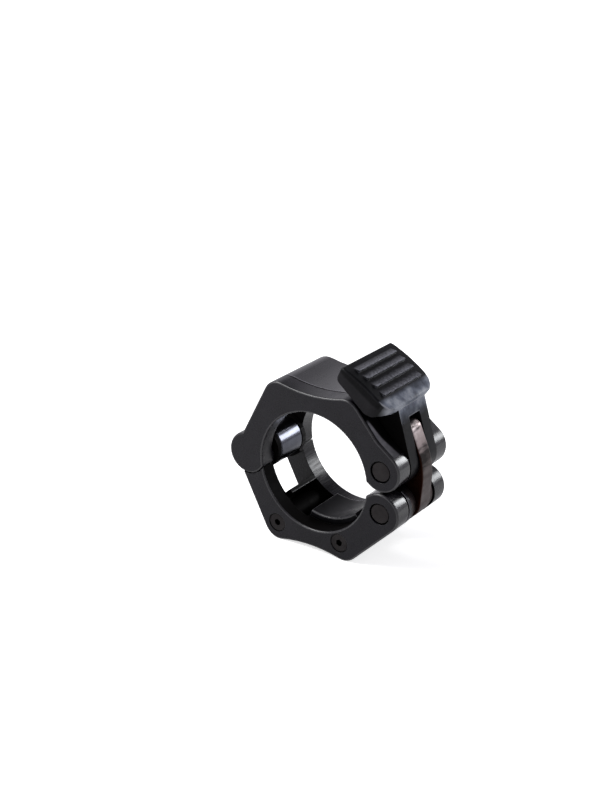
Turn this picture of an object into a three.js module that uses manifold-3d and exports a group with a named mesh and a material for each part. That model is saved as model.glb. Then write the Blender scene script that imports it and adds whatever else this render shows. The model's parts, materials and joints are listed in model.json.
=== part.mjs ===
// Hinged quick-lock collar for a bar sleeve, in millimetres.
// The bore runs along Y, the hinge is at -X, the latch at +X, and -Y is the front.
import * as THREE from "three";
import { mergeVertices } from "three/addons/utils/BufferGeometryUtils.js";
import Module from "manifold-3d";

const wasm = await Module();
wasm.setup();

// Clearances and cutting
const seatGap = 0.3;
const runningGap = 0.15;
const notchGap = 0.4;
const overrun = 5;
const chordError = 0.045;
const weldTolerance = 0.0005;
const ringSteps = 32;
const pinSteps = 20;
const cornerSteps = 4;
const crownSteps = 9;

// Collar
const halfWidth = 20;
const plateThickness = 9;
const flangeThickness = 2.5;
const panelThickness = 3;
const ribThickness = 2;
const edgeRadius = 0.8;
const throatShares = [0.857, 0.214];
const innerShares = [-0.7, 0.11];

// Grip pads, on the sleeve
const sleeveRadius = 25;
const padProud = 3;
const padSeatDepth = 0.4;
const padStart = THREE.MathUtils.degToRad(48.5);
const padEnd = THREE.MathUtils.degToRad(106);
const padChamfer = 0.5;

// Lobes and scallops of both jaws
const lobeRadius = 8;
const lobeRise = 2.6;
const latchLobeX = 16.2;
const hingeLobeX = -18.8;
const scallopRadius = 68;
const ribAngle = THREE.MathUtils.degToRad(136);
const slotMargin = 0.4;
const reliefDepth = 1.5;
const reliefWall = 3.5;

// Hinge
const hingeReach = 8.3;
const knuckleRadius = 9.8;
const webRadius = 12;
const sideReach = 2.6;
const sideZ = 9;
const sideRadius = 1.2;
const hingePinRadius = 3;
const barrelRadius = 9.3;
const barrelEdge = 0.6;
const noseReach = 1.2;
const noseDrop = 0.4;
const noseRadius = 9.8;

// Ears and latch
const earReach = 7;
const earGap = 1;
const earRadius = 9.4;
const bendReach = 7.9;
const bendRise = 24.5;
const bendRadius = 15;
const crank = 12;
const crankAngle = THREE.MathUtils.degToRad(95);
const leverTravel = THREE.MathUtils.degToRad(100);

// Pins of the ears, with heads in front and clips behind
const pinRadius = 2.5;
const pinHeadRadius = 4.6;
const pinHeadHeight = 2.4;
const pinHeadChamfer = 0.4;
const headRecessGap = 0.4;
const headInset = 0.3;
const clipThickness = 1;
const clipRecess = 2.6;
const clipDepth = 0.7;
const clipGrooveDepth = 0.6;
const clipWrap = THREE.MathUtils.degToRad(300);
const togglePinRadius = 2.5;
const togglePinCover = 1.5;

// Lever
const leverPadLength = 28.5;
const leverPadDepth = 9;
const leverPadHalf = 19.8;
const leverSlope = THREE.MathUtils.degToRad(34.5);
const leverTipBack = 20.3;
const leverTipRise = 22.6;
const leverWall = 3;
const leverEdge = 1;
const leverBossRadius = 9.6;
const leverArmLean = THREE.MathUtils.degToRad(16.3);
const leverShoulderRadius = 5;
const leverBulge = 0.7;
const leverHeelBack = 6.4;
const leverHeelRise = 2.8;
const leverHeelRadius = 2.5;
const windowRoom = 2.05;
const crownRadius = 73;
const crownHeight = 1.3;
const crownPlace = 16.2;
const crownTrim = 0.15;
const tipCornerRadius = 3;
const shoulderPlanRadius = 8;
const ridgeCount = 4;
const ridgePitch = 5;
const ridgeFirst = 6;
const ridgeHeight = 1.1;
const ridgeBack = 3;
const ridgeDrop = 0.6;
const ridgeHalf = 14.9;
const ridgeCorner = 1.2;
// Along the pad from its tip, and down from its top, in shares of the pad's depth
const flankShares = [
  [0.14, -0.15, 0.13],
  [0.4, -0.5, 0.3],
  [2.2, -0.86, 0.13],
  [2.49, -0.722, 0.178],
  [2.956, -0.156, 0.222],
];
const hollowShares = [
  [0.62, -0.5, 0.16],
  [0.9, -1.4, 0.04],
  [3.4, -1.4, 0.04],
  [2.72, -0.45, 0.12],
];

// Link
const linkEyeRadius = 7.1;
const linkBarrelRadius = 8.7;
const linkBowRadius = 33;
const linkHalf = 4.1;
const linkBandThickness = 6.3;
const linkBowZ = 3;
const linkFootInset = 0.9;
const linkFootRise = 1.4;
const linkFootRadius = 8.6;
const linkHollowRadius = 5.5;
const linkHollowDrop = 1.4;
const linkEdge = 0.6;

// Screws and inserts
const screwLatchX = 14.4;
const screwHingeX = -19.5;
const screwRise = 2.4;
const screwHeadRadius = 4.2;
const screwHeadHeight = 3.4;
const screwHeadInset = 0.25;
const screwRadius = 2;
const socketRadius = 1.7;
const socketDepth = 2;
const insertRadius = 3.1;
const insertLength = 6;
const insertInset = 0.6;
const bossWall = 2;

// Places that follow from the sizes above
const openingRadius = sleeveRadius + padProud;
const padRadius = openingRadius + padSeatDepth;
const reliefRadius = openingRadius + reliefWall;
const lobeZ = openingRadius + lobeRise;
const screwZ = openingRadius + screwRise;
const hingeX = -openingRadius - hingeReach;
const sideX = hingeX - sideReach;
const earX = openingRadius + earReach;
const earZ = earRadius + earGap / 2;
const bendX = earX + bendReach;
const bendZ = earZ + bendRise;
const slotX = padRadius * Math.cos(padStart) + slotMargin;
const plateInner = halfWidth - plateThickness;
const flangeFront = -(plateInner - seatGap);
const flangeBack = flangeFront + flangeThickness;
const middleHalf = plateInner - seatGap;
const seatRadius = padRadius + seatGap;
const notchRadius = knuckleRadius + notchGap;
const armInner = linkHalf + seatGap;
const linkBowReach = earX + linkHollowRadius + linkBandThickness;
const linkFootX = linkBowReach - linkFootInset - linkFootRadius;
const reach = lobeZ + lobeRadius + overrun + halfWidth;
const outer = halfWidth + overrun;
const upperEar = [earX, earZ];
const lowerEar = [earX, -earZ];
const hinge = [hingeX, 0];
const toggle = [
  earX + crank * Math.cos(crankAngle),
  earZ + crank * Math.sin(crankAngle),
];
const leverTipX = earX - leverTipBack;
const leverTipZ = lobeZ + leverTipRise;
const leverHeelX = earX - leverHeelBack;
const leverHeelZ = lobeZ + leverHeelRise;
const windowTopZ = toggle[1] + linkEyeRadius + windowRoom;

// Turns point p about c by an angle, as seen from the front.
function turned(p, c, angle) {
  const x = p[0] - c[0];
  const z = p[1] - c[1];
  const cos = Math.cos(angle);
  const sin = Math.sin(angle);
  return [c[0] + x * cos - z * sin, c[1] + x * sin + z * cos];
}

// Solids from three.js geometry
function solid(geometry) {
  const bare = geometry.index ? geometry.toNonIndexed() : geometry.clone();
  bare.deleteAttribute("normal");
  bare.deleteAttribute("uv");
  const merged = mergeVertices(bare, weldTolerance);
  const p = merged.attributes.position.array;
  const index = merged.index.array;
  const kept = [];
  let volume = 0;
  for (let i = 0; i < index.length; i += 3) {
    const [a, b, c] = index.slice(i, i + 3);
    if (a === b || b === c || c === a) continue;
    kept.push(a, b, c);
    const va = new THREE.Vector3().fromArray(p, a * 3);
    const vb = new THREE.Vector3().fromArray(p, b * 3);
    const vc = new THREE.Vector3().fromArray(p, c * 3);
    volume += va.dot(vb.cross(vc));
  }
  if (volume < 0) kept.reverse();
  return new wasm.Manifold(
    new wasm.Mesh({
      numProp: 3,
      vertProperties: p,
      triVerts: new Uint32Array(kept),
    }),
  );
}

function union(...parts) {
  return parts.reduce((a, b) => a.add(b));
}

function cut(base, ...tools) {
  return tools.reduce((a, b) => a.subtract(b), base);
}

// A closed outline that runs round circles and along their shared tangents. A circle is
// [x, z, radius], with a minus radius where the outline bends inwards and zero at a corner.
function belt(circles) {
  const full = Math.PI * 2;
  const normal = (a, b) => {
    const dx = b[0] - a[0];
    const dz = b[1] - a[1];
    const share = (a[2] - b[2]) / Math.hypot(dx, dz);
    return Math.atan2(dz, dx) - Math.acos(Math.max(-1, Math.min(1, share)));
  };
  const points = [];
  circles.forEach((c, i) => {
    const before = circles[(i + circles.length - 1) % circles.length];
    const after = circles[(i + 1) % circles.length];
    if (c[2] === 0) {
      points.push([c[0], c[1]]);
      return;
    }
    const from = normal(before, c);
    const way = Math.sign(c[2]);
    let sweep = (((normal(c, after) - from) * way) % full + full) % full;
    if (full - sweep < weldTolerance) sweep = 0;
    const step = Math.acos(1 - Math.min(1, chordError / Math.abs(c[2]))) * 2;
    const count = Math.max(1, Math.ceil(sweep / step));
    for (let k = 0; k <= count; k++) {
      const angle = from + (way * sweep * k) / count;
      points.push([
        c[0] + c[2] * Math.cos(angle),
        c[1] + c[2] * Math.sin(angle),
      ]);
    }
  });
  return points.filter((p, i) => {
    const q = points[(i + 1) % points.length];
    return Math.hypot(p[0] - q[0], p[1] - q[1]) > chordError;
  });
}

function mirrored(points) {
  return points.map(([x, z]) => [x, -z]).reverse();
}

// An outline in the XZ plane made solid from y = front to y = back, with its front and back
// edges rounded by the radii given.
function prism(points, front, back, frontEdge = 0, backEdge = 0) {
  const shape = new THREE.Shape(points.map(([x, z]) => new THREE.Vector2(x, z)));
  const edge = Math.max(frontEdge, backEdge);
  const before = frontEdge ? 0 : edge;
  const after = backEdge ? 0 : edge;
  const depth = back + after - (front - before) - edge - edge;
  const geometry = new THREE.ExtrudeGeometry(shape, {
    depth,
    bevelEnabled: edge > 0,
    bevelThickness: edge,
    bevelSize: edge,
    bevelOffset: -edge,
    bevelSegments: 2,
  });
  geometry.rotateX(Math.PI / 2);
  geometry.translate(0, back + after - edge, 0);
  let made = solid(geometry);
  if (before) made = made.subtract(slab(-outer - edge, front));
  if (after) made = made.subtract(slab(back, outer + edge));
  return made;
}

// Everything between two places along Y, and a block given by its two corners.
function slab(from, to) {
  return block([-reach, from, -reach], [reach + reach, to, reach]);
}

function block(low, high) {
  const size = high.map((v, i) => v - low[i]);
  const geometry = new THREE.BoxGeometry(...size);
  geometry.translate(...low.map((v, i) => v + size[i] / 2));
  return solid(geometry);
}

// A turned solid about an axis along Y: the profile is pairs of radius and y.
function turning(profile, [x, z], steps = pinSteps) {
  const points = profile.map(([r, y]) => new THREE.Vector2(r, y));
  const geometry = new THREE.LatheGeometry(points, steps);
  geometry.translate(x, 0, z);
  return solid(geometry);
}

function rod(radius, from, to, centre, steps = pinSteps) {
  return turning(
    [
      [0, from],
      [radius, from],
      [radius, to],
      [0, to],
    ],
    centre,
    steps,
  );
}

// A disc whose front or back rim is rounded.
function disc(radius, from, to, centre, frontEdge, backEdge) {
  const rim = (edge, y, way) => {
    const corner = [];
    for (let k = 0; k <= 2; k++) {
      const a = (Math.PI / 4) * k;
      corner.push([
        radius - edge + edge * Math.sin(a),
        y + way * (edge - edge * Math.cos(a)),
      ]);
    }
    return corner;
  };
  const front = frontEdge ? rim(frontEdge, from, 1) : [[radius, from]];
  const back = backEdge ? rim(backEdge, to, -1).reverse() : [[radius, to]];
  const profile = [[0, from], ...front, ...back, [0, to]];
  return turning(profile, centre, ringSteps);
}

// A wedge about the bore's axis, as seen from the front.
function wedge(startAngle, endAngle, radius, front, back) {
  const points = [[0, 0]];
  const step = Math.acos(1 - chordError / radius) * 2;
  const count = Math.ceil((endAngle - startAngle) / step);
  for (let k = 0; k <= count; k++) {
    const a = startAngle + ((endAngle - startAngle) * k) / count;
    points.push([radius * Math.cos(a), radius * Math.sin(a)]);
  }
  return prism(points, front, back);
}

// The bore's cutter, flared where it meets the front and back faces.
function boreCutter() {
  const flare = (y, way) => [
    [openingRadius, y - way * edgeRadius],
    [
      openingRadius + edgeRadius * (1 - Math.SQRT1_2),
      y - way * edgeRadius * (1 - Math.SQRT1_2),
    ],
    [openingRadius + edgeRadius, y],
    [openingRadius + edgeRadius, y + way * overrun],
  ];
  const profile = [
    [0, -outer],
    ...flare(-halfWidth, -1).reverse(),
    ...flare(halfWidth, 1),
    [0, outer],
  ];
  return turning(profile, [0, 0], ringSteps * 2);
}

// The outline that both plates and the moulding of a jaw share
const latchLobe = [latchLobeX, lobeZ, lobeRadius];
const hingeLobe = [hingeLobeX, lobeZ, lobeRadius];
const scallopX = (latchLobeX + hingeLobeX) / 2;
const scallopHalf = (latchLobeX - hingeLobeX) / 2;
const scallopRise = Math.sqrt((scallopRadius + lobeRadius) ** 2 - scallopHalf ** 2);
const scallop = [scallopX, lobeZ + scallopRise, -scallopRadius];
const sideCorner = [sideX + sideRadius, sideZ, sideRadius];
const bend = [bendX, bendZ, -bendRadius];
const innerPoint = [
  openingRadius * innerShares[0],
  openingRadius * innerShares[1],
  0,
];
const throatPoint = [
  openingRadius * throatShares[0],
  openingRadius * throatShares[1],
  0,
];
const ear = [earX, earZ, earRadius];

function jawOutline(withBend) {
  const latch = withBend ? [ear, bend, latchLobe] : [ear, latchLobe];
  return belt([
    ...latch,
    scallop,
    hingeLobe,
    sideCorner,
    [hingeX, 0, 0],
    innerPoint,
    throatPoint,
  ]);
}

const upperOutline = jawOutline(true);
const lowerOutline = mirrored(jawOutline(false));

// The hollow behind a jaw's outer panel, between the rib and the pad's block
function pocket(way) {
  const inset = (c) => [c[0], c[1], c[2] - panelThickness];
  const points = belt([
    inset(latchLobe),
    inset(scallop),
    inset(hingeLobe),
    [sideX + panelThickness, sideZ, 0],
    [0, 0, 0],
  ]);
  const behindPanel = prism(
    way > 0 ? points : mirrored(points),
    flangeBack,
    plateInner,
  );
  const halfRib = ribThickness / 2 / openingRadius;
  const start = padEnd + seatGap / seatRadius;
  const end = ribAngle - halfRib;
  const from = way > 0 ? start : -end;
  const to = way > 0 ? end : -start;
  const span = wedge(from, to, reach, flangeBack, plateInner);
  return behindPanel.intersect(span);
}

function hingeWindow(way) {
  const halfRib = ribThickness / 2 / openingRadius;
  const start = ribAngle + halfRib;
  const from = way > 0 ? start : -Math.PI;
  const to = way > 0 ? Math.PI : -start;
  const over = wedge(from, to, reach, flangeBack, plateInner);
  const knuckleRoom = rod(
    notchRadius,
    flangeBack,
    plateInner,
    hinge,
    ringSteps,
  );
  return union(over, knuckleRoom);
}

// A shallow recess round the bore, from the front plate's back through the flange
function boreRelief(way) {
  const start = padEnd + seatGap / seatRadius;
  return wedge(
    way > 0 ? start : -Math.PI,
    way > 0 ? Math.PI : -start,
    reliefRadius,
    -plateInner - reliefDepth,
    flangeBack,
  );
}

function padSeat(way) {
  const slack = seatGap / sleeveRadius;
  const start = padStart - slack;
  const end = padEnd + slack;
  return wedge(
    way > 0 ? start : -end,
    way > 0 ? end : -start,
    seatRadius,
    -plateInner,
    plateInner,
  );
}

function gripPad(way) {
  const sector = wedge(
    way > 0 ? padStart : -padEnd,
    way > 0 ? padEnd : -padStart,
    padRadius,
    -middleHalf,
    middleHalf,
  );
  const bore = turning(
    [
      [0, -outer],
      [sleeveRadius + padChamfer, -outer],
      [sleeveRadius + padChamfer, -middleHalf],
      [sleeveRadius, -middleHalf + padChamfer],
      [sleeveRadius, middleHalf - padChamfer],
      [sleeveRadius + padChamfer, middleHalf],
      [sleeveRadius + padChamfer, outer],
      [0, outer],
    ],
    [0, 0],
    ringSteps * 2,
  );
  return cut(sector, bore);
}

// Screws: the lower jaw's go in from the front, the upper jaw's from the back
const headSeat = halfWidth - screwHeadInset - screwHeadHeight;
const lowerInsertFrom = flangeBack + insertInset;
const upperInsertFrom = -plateInner - insertLength - insertInset;

function screw(way, x, z, shankEnd) {
  const at = [x, z];
  const top = way * (halfWidth - screwHeadInset);
  const under = way * headSeat;
  const [low, high] = [Math.min(top, under), Math.max(top, under)];
  const [a, b] = [Math.min(under, shankEnd), Math.max(under, shankEnd)];
  const head = rod(screwHeadRadius, low, high, at);
  const shank = rod(screwRadius, a - seatGap, b, at);
  const joined = union(head, way > 0 ? rod(screwRadius, a, b + seatGap, at) : shank);
  const floor = top - way * socketDepth;
  const mouth = top + way * overrun;
  const hexagon = rod(
    socketRadius,
    Math.min(floor, mouth),
    Math.max(floor, mouth),
    at,
    6,
  );
  return cut(joined, hexagon);
}

function insert(from, x, z) {
  const at = [x, z];
  const bodyRod = rod(insertRadius, from, from + insertLength, at);
  const hole = rod(screwRadius + runningGap, -outer, outer, at);
  return cut(bodyRod, hole);
}

function screwHole(way, x, z) {
  const at = [x, z];
  const counterbore = rod(
    screwHeadRadius + seatGap,
    Math.min(way * (headSeat - seatGap), way * outer),
    Math.max(way * (headSeat - seatGap), way * outer),
    at,
  );
  return counterbore;
}

function clearHole(x, z, from, to) {
  return rod(screwRadius + seatGap, from, to, [x, z]);
}

function insertHole(x, z, from) {
  return rod(insertRadius + seatGap, from - seatGap, from + insertLength + seatGap, [x, z]);
}

const lowerScrewEnd = lowerInsertFrom + insertLength;
const upperScrewEnd = upperInsertFrom + insertInset;

function screwBoss(way) {
  return rod(
    insertRadius + seatGap + bossWall,
    flangeBack - flangeThickness / 2,
    halfWidth - plateThickness / 2,
    [screwHingeX, way * screwZ],
    ringSteps,
  );
}

// Pins through the ears: head in front, clip behind
const pinBack = halfWidth - clipDepth;
const grooveFront = halfWidth - clipRecess;
const grooveBack = grooveFront + clipThickness + runningGap;
const grooveRadius = pinRadius - clipGrooveDepth;

function earPin(centre) {
  const top = -halfWidth + headInset;
  return turning(
    [
      [0, top],
      [pinHeadRadius - pinHeadChamfer, top],
      [pinHeadRadius, top + pinHeadChamfer],
      [pinHeadRadius, top + pinHeadHeight],
      [pinRadius, top + pinHeadHeight],
      [pinRadius, grooveFront],
      [grooveRadius, grooveFront],
      [grooveRadius, grooveBack],
      [pinRadius, grooveBack],
      [pinRadius, pinBack],
      [0, pinBack],
    ],
    centre,
  );
}

function earPinHoles(centre) {
  const recess = pinHeadRadius + headRecessGap;
  const headFloor = -halfWidth + headInset + pinHeadHeight + seatGap;
  return union(
    rod(pinRadius + runningGap, -outer, outer, centre),
    rod(recess, -outer, headFloor, centre, ringSteps),
    rod(recess, grooveFront - seatGap, outer, centre, ringSteps),
  );
}

function clip(centre) {
  const inner = grooveRadius + runningGap;
  const points = [];
  const count = ringSteps;
  const start = -clipWrap / 2;
  for (let k = 0; k <= count; k++) {
    const a = start + (clipWrap * k) / count;
    points.push([
      centre[0] + pinHeadRadius * Math.cos(a),
      centre[1] + pinHeadRadius * Math.sin(a),
    ]);
  }
  for (let k = count; k >= 0; k--) {
    const a = start + (clipWrap * k) / count;
    points.push([centre[0] + inner * Math.cos(a), centre[1] + inner * Math.sin(a)]);
  }
  const from = grooveFront + runningGap / 2;
  return prism(points, from, from + clipThickness);
}

// Hinge pin, from the back into a blind hole of the front knuckle
const hingePinFront = -halfWidth + panelThickness;
const hingeHeadFloor = halfWidth - pinHeadHeight;

function hingePin() {
  const back = halfWidth - headInset;
  return turning(
    [
      [0, hingePinFront],
      [hingePinRadius, hingePinFront],
      [hingePinRadius, hingeHeadFloor],
      [pinHeadRadius, hingeHeadFloor],
      [pinHeadRadius, back - pinHeadChamfer],
      [pinHeadRadius - pinHeadChamfer, back],
      [0, back],
    ],
    hinge,
  );
}

const hingePinHole = union(
  rod(hingePinRadius + runningGap, hingePinFront - seatGap, outer, hinge),
  rod(
    pinHeadRadius + headRecessGap,
    hingeHeadFloor - seatGap,
    outer,
    hinge,
    ringSteps,
  ),
);

// Front plates
const frontKnuckle = disc(
  knuckleRadius,
  -halfWidth,
  -plateInner,
  hinge,
  edgeRadius,
  0,
);
const upperPlate = cut(
  union(prism(upperOutline, -halfWidth, -plateInner, edgeRadius), frontKnuckle),
  boreCutter(),
  boreRelief(1),
  hingePinHole,
  earPinHoles(upperEar),
  ...[screwLatchX, screwHingeX].map((x) => insertHole(x, screwZ, upperInsertFrom)),
  ...[screwLatchX, screwHingeX].map((x) =>
    clearHole(x, screwZ, upperInsertFrom, outer),
  ),
);
const frontNotch = rod(notchRadius, -outer, -plateInner + overrun, hinge, ringSteps);
const lowerPlate = cut(
  prism(lowerOutline, -halfWidth, -plateInner, edgeRadius),
  boreCutter(),
  boreRelief(-1),
  frontNotch,
  earPinHoles(lowerEar),
  ...[screwLatchX, screwHingeX].map((x) => screwHole(-1, x, -screwZ)),
  ...[screwLatchX, screwHingeX].map((x) =>
    clearHole(x, -screwZ, -outer, outer),
  ),
);

// Jaw mouldings: front flange, outer panel, rib, pad block and rear plate in one
const upperShell = cut(
  prism(upperOutline, flangeFront, halfWidth, 0, edgeRadius),
  hingeWindow(1),
  boreRelief(1),
  pocket(1),
  rod(notchRadius, -plateInner, plateInner, hinge, ringSteps),
  block([slotX, -plateInner, 0], [reach, plateInner, reach]),
);
const upperBody = cut(
  union(
    upperShell,
    screwBoss(1),
    disc(knuckleRadius, plateInner, halfWidth, hinge, 0, edgeRadius),
  ),
  boreCutter(),
  padSeat(1),
  hingePinHole,
  earPinHoles(upperEar),
  ...[screwLatchX, screwHingeX].map((x) => screwHole(1, x, screwZ)),
  ...[screwLatchX, screwHingeX].map((x) => clearHole(x, screwZ, -outer, outer)),
);

const lowerShell = cut(
  prism(lowerOutline, flangeFront, halfWidth, 0, edgeRadius),
  hingeWindow(-1),
  boreRelief(-1),
  pocket(-1),
  block([slotX, flangeBack, -reach], [reach, plateInner, 0]),
);
const noseAt = [hingeX + noseReach, -noseDrop];
const barrelOutline = belt([
  [...hinge, barrelRadius],
  [...noseAt, noseRadius],
]);
const rearLugFront = middleHalf - flangeThickness;
const web = cut(
  rod(webRadius, rearLugFront, plateInner + flangeThickness, hinge, ringSteps),
  rod(notchRadius, middleHalf, outer, hinge, ringSteps),
).intersect(prism(lowerOutline, -plateInner, halfWidth));
const rearLug = prism(barrelOutline, rearLugFront, middleHalf);
const lowerFrame = cut(
  union(
    cut(lowerShell, rod(notchRadius, plateInner, outer, hinge, ringSteps)),
    screwBoss(-1),
    web,
  ),
  boreCutter(),
  padSeat(-1),
);
const lowerBody = cut(
  union(lowerFrame, prism(barrelOutline, flangeFront, flangeBack), rearLug),
  rod(hingePinRadius + runningGap, -outer, outer, hinge),
  earPinHoles(lowerEar),
  ...[screwLatchX, screwHingeX].map((x) => insertHole(x, -screwZ, lowerInsertFrom)),
  ...[screwLatchX, screwHingeX].map((x) =>
    clearHole(x, -screwZ, -outer, lowerInsertFrom + insertLength + seatGap),
  ),
);

const spacerHalf = middleHalf - flangeThickness - seatGap;
const hingeBarrel = cut(
  prism(barrelOutline, -spacerHalf, spacerHalf, barrelEdge, barrelEdge),
  rod(hingePinRadius + runningGap, -outer, outer, hinge),
);

// Lever: places along the pad from its tip, and up from its top
const along = [Math.cos(leverSlope), -Math.sin(leverSlope)];
const up = [Math.sin(leverSlope), Math.cos(leverSlope)];
const onPad = (s, n) => [
  leverTipX + along[0] * s + up[0] * n,
  leverTipZ + along[1] * s + up[1] * n,
];
const onPadCircle = ([s, n, r]) => [
  ...onPad(s * leverPadDepth, n * leverPadDepth),
  r * leverPadDepth,
];
const crownAt = (s) =>
  crownHeight - crownTrim - (s - crownPlace) ** 2 / (crownRadius + crownRadius);
const crown = [...onPad(crownPlace, crownHeight - crownRadius), crownRadius];

// The shoulder's circle touches the arms' outer edge and stands a little above the pad
const armOut = [Math.cos(leverArmLean), Math.sin(leverArmLean)];
const armReach = armOut[0] * earX + armOut[1] * earZ + leverBossRadius;
const padTop = up[0] * leverTipX + up[1] * leverTipZ;
const shoulderArm = armReach - leverShoulderRadius;
const shoulderUp = padTop + leverBulge - leverShoulderRadius;
const spread = armOut[0] * up[1] - armOut[1] * up[0];
const shoulder = [
  (shoulderArm * up[1] - armOut[1] * shoulderUp) / spread,
  (armOut[0] * shoulderUp - up[0] * shoulderArm) / spread,
];

// A closed skin over cross-sections that all have the same number of points
function skin(rings) {
  const size = rings[0].length;
  const end = (rings.length - 1) * size;
  const index = [];
  for (let a = 0; a < end; a++) {
    const b = (a + 1) % size ? a + 1 : a + 1 - size;
    index.push(a, b, b + size, a, b + size, a + size);
  }
  for (let k = 1; k < size - 1; k++) {
    index.push(0, k + 1, k, end, end + k, end + k + 1);
  }
  const geometry = new THREE.BufferGeometry();
  const places = new THREE.Float32BufferAttribute(rings.flat(2), 3);
  geometry.setAttribute("position", places);
  geometry.setIndex(index);
  return solid(geometry);
}

// Half the pad's width at a place along it, with its corners rounded
function padHalfAt(s) {
  const corner = (radius, depth) =>
    radius - Math.sqrt(Math.max(0, radius ** 2 - (radius - depth) ** 2));
  const fromTip = s + leverEdge;
  const fromEnd = leverPadLength - s;
  if (fromTip < tipCornerRadius) {
    return leverPadHalf - corner(tipCornerRadius, fromTip);
  }
  if (fromEnd < shoulderPlanRadius) {
    return leverPadHalf - corner(shoulderPlanRadius, fromEnd);
  }
  return leverPadHalf;
}

// The pad's outline seen from above, under its crowned top with rounded edges
function padPlan() {
  const stations = [];
  for (let k = 0; k < cornerSteps; k++) {
    const share = 1 - Math.cos((k / cornerSteps) * (Math.PI / 2));
    stations.push(share * tipCornerRadius - leverEdge);
  }
  const from = tipCornerRadius - leverEdge;
  const to = leverPadLength - shoulderPlanRadius;
  for (let k = 0; k <= crownSteps; k++) {
    stations.push(from + ((to - from) * k) / crownSteps);
  }
  for (let k = 1; k <= cornerSteps; k++) {
    const share = Math.sin((k / cornerSteps) * (Math.PI / 2));
    stations.push(to + share * shoulderPlanRadius);
  }
  const rings = stations.map((s) => {
    const half = padHalfAt(s);
    const top = crownAt(s);
    const side = [[half, -leverPadLength]];
    for (let k = 0; k <= 2; k++) {
      const a = (Math.PI / 4) * k;
      side.push([
        half - leverEdge + leverEdge * Math.cos(a),
        top - leverEdge + leverEdge * Math.sin(a),
      ]);
    }
    const other = side.map(([y, n]) => [-y, n]).reverse();
    return [...side, ...other].map(([y, n]) => {
      const [x, z] = onPad(s, n);
      return [x, y, z];
    });
  });
  return skin(rings);
}

// A thumb ridge: a sloped rise to a crest and a short drop, with rounded ends
function ridge(crest) {
  const [low, high] = [crest - ridgeBack, crest + ridgeDrop];
  const bar = prism(
    [
      onPad(low, crownAt(low) - leverEdge),
      onPad(high, crownAt(high) - leverEdge),
      onPad(crest, crownAt(crest) + ridgeHeight),
      onPad(low, crownAt(low)),
    ],
    -ridgeHalf,
    ridgeHalf,
  );
  const plan = belt([
    [low, ridgeHalf, 0],
    [low, -ridgeHalf, 0],
    [high - ridgeCorner, ridgeCorner - ridgeHalf, ridgeCorner],
    [high - ridgeCorner, ridgeHalf - ridgeCorner, ridgeCorner],
  ]);
  const shape = new THREE.Shape(plan.map(([x, y]) => new THREE.Vector2(x, y)));
  const geometry = new THREE.ExtrudeGeometry(shape, {
    depth: leverPadDepth,
    bevelEnabled: false,
  });
  geometry.translate(0, 0, -leverPadDepth / 2);
  const basis = new THREE.Matrix4().makeBasis(
    new THREE.Vector3(along[0], 0, along[1]),
    new THREE.Vector3(0, 1, 0),
    new THREE.Vector3(up[0], 0, up[1]),
  );
  basis.setPosition(leverTipX, 0, leverTipZ);
  geometry.applyMatrix4(basis);
  return bar.intersect(solid(geometry));
}

const flank = prism(
  belt([...flankShares.map(onPadCircle), crown]),
  -leverPadHalf - overrun,
  leverPadHalf + overrun,
);
const hollowHalf = leverPadHalf - leverWall;
const hollow = prism(
  belt(hollowShares.map(onPadCircle)),
  -hollowHalf,
  hollowHalf,
);
const arms = prism(
  belt([
    [earX, earZ, leverBossRadius],
    [...shoulder, leverShoulderRadius],
    [leverHeelX, leverHeelZ, leverHeelRadius],
  ]),
  -middleHalf,
  middleHalf,
);
const ridges = Array.from({ length: ridgeCount }, (_, k) =>
  ridge(ridgeFirst + ridgePitch * k),
);
const leverFrame = union(
  cut(flank.intersect(padPlan()), hollow),
  cut(
    arms,
    block(
      [leverTipX, -armInner, -reach],
      [reach, armInner, windowTopZ],
    ),
  ),
  ...ridges,
);
const lever = cut(
  leverFrame,
  rod(openingRadius + seatGap, -outer, outer, [0, 0], ringSteps * 2),
  rod(pinRadius + runningGap, -outer, outer, upperEar),
  rod(togglePinRadius + runningGap, togglePinCover - middleHalf, outer, toggle),
);

// Link: a bowed band between two eyes, with a wide barrel at the lower ears. The barrel's hole
// is lengthened by the slack that the jaws' slow first movement needs.
const openToggle = turned(toggle, upperEar, -leverTravel);
const span = (a, b) => Math.hypot(a[0] - b[0], a[1] - b[1]);
const heading = (a, b) => Math.atan2(b[1] - a[1], b[0] - a[0]);
const linkLength = span(toggle, lowerEar);

// How far the jaws stand open when the lever has turned by an angle
function jawAngle(travel) {
  const at = turned(toggle, upperEar, -travel);
  const far = span(hinge, at);
  const near = span(hinge, lowerEar);
  const share = (far ** 2 + near ** 2 - linkLength ** 2) / (2 * far * near);
  return heading(hinge, lowerEar) + Math.acos(share) - heading(hinge, at);
}

const jawTravel = jawAngle(leverTravel);
const openLinkTurn =
  heading(lowerEar, turned(openToggle, hinge, jawTravel)) -
  heading(lowerEar, toggle);
const halfToggle = turned(
  turned(toggle, upperEar, -leverTravel / 2),
  hinge,
  jawTravel / 2,
);
const halfPin = turned(lowerEar, halfToggle, -openLinkTurn / 2);
const slack = [
  halfPin[0] - halfToggle[0] + toggle[0] - lowerEar[0],
  halfPin[1] - halfToggle[1] + toggle[1] - lowerEar[1],
];
const slotRadius = pinRadius + seatGap;
const slotSolid = prism(
  belt([
    [...lowerEar, slotRadius],
    [lowerEar[0] + slack[0], lowerEar[1] + slack[1], slotRadius],
  ]),
  -outer,
  outer,
);
const linkBand = prism(
  belt([
    [...lowerEar, linkBarrelRadius],
    [linkFootX, -earZ + linkFootRise, linkFootRadius],
    [linkBowReach - linkBowRadius, linkBowZ, linkBowRadius],
    [...toggle, linkEyeRadius],
    [earX, earZ - linkHollowDrop, -linkHollowRadius],
  ]),
  -linkHalf,
  linkHalf,
  linkEdge,
  linkEdge,
);
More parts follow.
